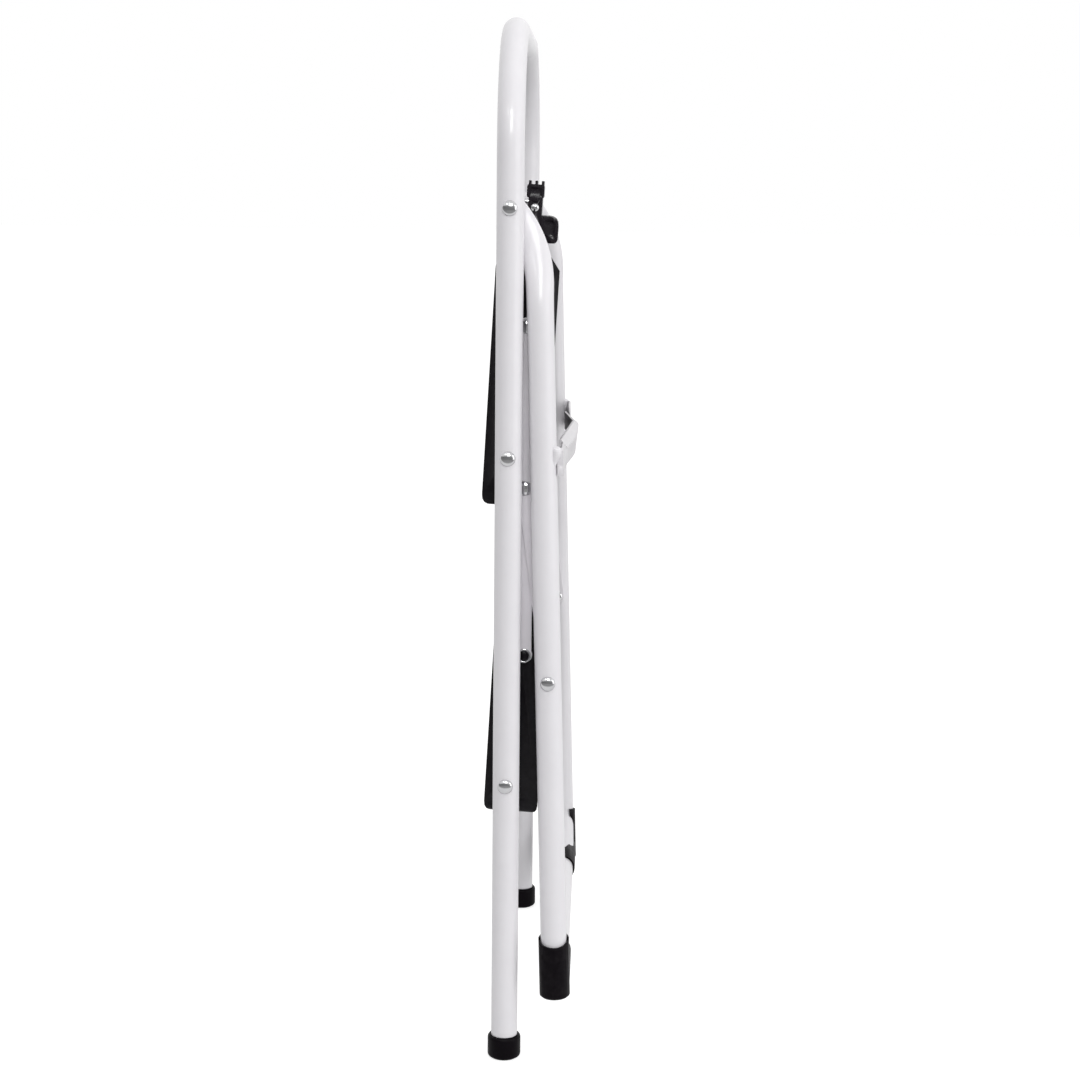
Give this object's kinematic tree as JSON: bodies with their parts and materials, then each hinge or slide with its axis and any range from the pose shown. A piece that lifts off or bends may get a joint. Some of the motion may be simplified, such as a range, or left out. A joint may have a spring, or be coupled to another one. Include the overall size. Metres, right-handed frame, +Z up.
{
  "type": "folding step stool chair",
  "caption": "Folding step stool chair with a tubular steel frame, two black treads, link bars and a sprung latch, folded flat for storage.",
  "frame": {"origin": "on the floor under the middle of the bounding box, in the folded pose", "axes": "+Z up along the front legs, +Y from the front legs towards the rear legs, +X along the treads' width to the right"},
  "size_m": [0.4106, 0.08, 0.886],
  "materials": {
    "frame_paint": "gloss",
    "tread_plastic": "satin",
    "black_rubber": "matte",
    "rivet_chrome": "polished",
    "zinc_steel": "satin"
  },
  "bodies": {
    "front_frame": {"front_tube": "frame_paint", "front_foot_right": "black_rubber", "front_foot_left": "black_rubber", "fold_rivet_right": "rivet_chrome", "fold_rivet_left": "rivet_chrome", "fold_washer_right": "tread_plastic", "fold_washer_left": "tread_plastic", "upper_tread_rivet_right": "rivet_chrome", "upper_tread_rivet_left": "rivet_chrome", "upper_tread_spacer_right": "tread_plastic", "upper_tread_spacer_left": "tread_plastic", "lower_tread_rivet_right": "rivet_chrome", "lower_tread_rivet_left": "rivet_chrome", "lower_tread_spacer_right": "tread_plastic", "lower_tread_spacer_left": "tread_plastic"},
    "rear_frame": {"rear_tube": "frame_paint", "rear_crossbar": "frame_paint", "rear_shoe_right": "black_rubber", "rear_shoe_left": "black_rubber", "spreader_rivet_right": "rivet_chrome", "spreader_rivet_left": "rivet_chrome"},
    "upper_tread": {"upper_tread_pan": "tread_plastic", "upper_tread_mat": "black_rubber", "upper_link_rivet_right": "rivet_chrome", "upper_link_rivet_left": "rivet_chrome", "upper_link_washer_right": "zinc_steel", "upper_link_washer_left": "zinc_steel", "latch_arm": "tread_plastic", "latch_pin": "rivet_chrome", "latch_spring": "zinc_steel"},
    "lower_tread": {"lower_tread_pan": "tread_plastic", "lower_tread_mat": "black_rubber", "lower_link_rivet_right": "tread_plastic", "lower_link_rivet_left": "tread_plastic", "lower_link_washer_right": "zinc_steel", "lower_link_washer_left": "zinc_steel"},
    "links": {"link_bar_right": "frame_paint", "link_bar_left": "frame_paint", "middle_rivet_tail_right": "zinc_steel", "middle_rivet_tail_left": "zinc_steel"},
    "spreaders": {"spreader_bar_right": "frame_paint", "spreader_bar_left": "frame_paint", "middle_rivet_right": "rivet_chrome", "middle_rivet_left": "rivet_chrome"},
    "latch": {"latch_lever": "tread_plastic"}
  },
  "joints": [
    {"name": "fold", "type": "hinge", "parent": "front_frame", "child": "rear_frame", "pos_m": [0, -0.01671, 0.72829], "axis": [1, 0, 0], "range_deg": [0, 36.73]},
    {"name": "upper_tread_turn", "type": "hinge", "parent": "front_frame", "child": "upper_tread", "pos_m": [0, -0.01671, 0.5246], "axis": [-1, 0, 0], "range_deg": [0, 60.9]},
    {"name": "lower_tread_turn", "type": "hinge", "parent": "front_frame", "child": "lower_tread", "pos_m": [0, -0.01671, 0.24533], "axis": [-1, 0, 0], "range_deg": [0, 60.9]},
    {"name": "link_turn", "type": "hinge", "parent": "upper_tread", "child": "links", "pos_m": [0, -0.00332, 0.63143], "axis": [1, 0, 0], "range_deg": [0, 60.9]},
    {"name": "spreader_turn", "type": "hinge", "parent": "rear_frame", "child": "spreaders", "pos_m": [0, 0.01808, 0.33416], "axis": [1, 0, 0], "range_deg": [0, 46.9]},
    {"name": "latch_turn", "type": "hinge", "parent": "upper_tread", "child": "latch", "pos_m": [0, -0.00277, 0.72664], "axis": [1, 0, 0], "range_deg": [0, 15], "stiffness_Nm_per_rad": 0.3, "springref_deg": -11.46}
  ],
  "couplings": [
    {"joint": "upper_tread_turn", "follows": "fold", "ratio": 1.6568},
    {"joint": "lower_tread_turn", "follows": "fold", "ratio": 1.6568},
    {"joint": "link_turn", "follows": "fold", "ratio": 1.6568},
    {"joint": "spreader_turn", "follows": "fold", "ratio": 1.2762}
  ]
}
